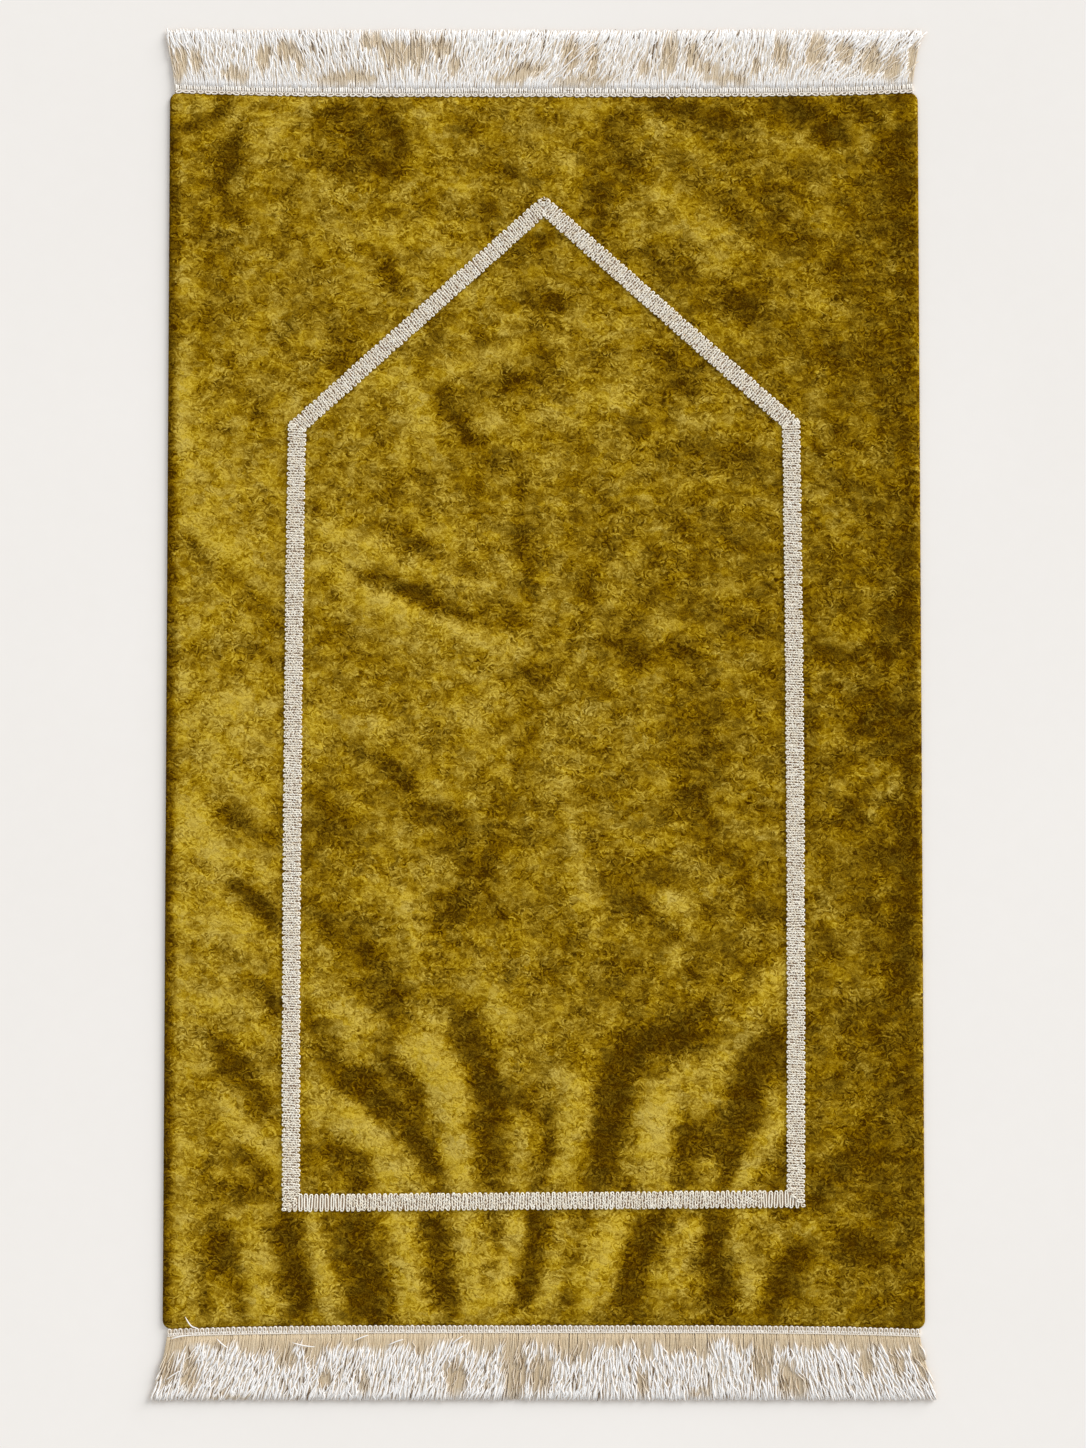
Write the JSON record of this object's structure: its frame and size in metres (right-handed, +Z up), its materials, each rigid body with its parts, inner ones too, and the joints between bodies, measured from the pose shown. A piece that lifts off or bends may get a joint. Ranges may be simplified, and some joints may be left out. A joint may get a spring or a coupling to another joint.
{
  "type": "velvet prayer rug",
  "caption": "Flat crushed-velvet prayer rug with a sewn braid in a pointed niche shape, soft folds, and a looped heading with cut fringe along each short end.",
  "frame": {"origin": "on the floor, at the middle of the underside of the whole rug with its fringes", "axes": "+X to the right across the rug, +Y along the rug towards the point of the niche, +Z up out of the pile"},
  "size_m": [0.7002, 1.23, 0.007],
  "materials": {
    "velvet": "crushed velvet pile",
    "braid": "woven gimp braid",
    "yarn": "shiny rayon yarn"
  },
  "bodies": {
    "root": {"velvet_cloth": "velvet", "niche_braid": "braid", "head_fringe": "yarn", "foot_fringe": "yarn"}
  },
  "joints": []
}
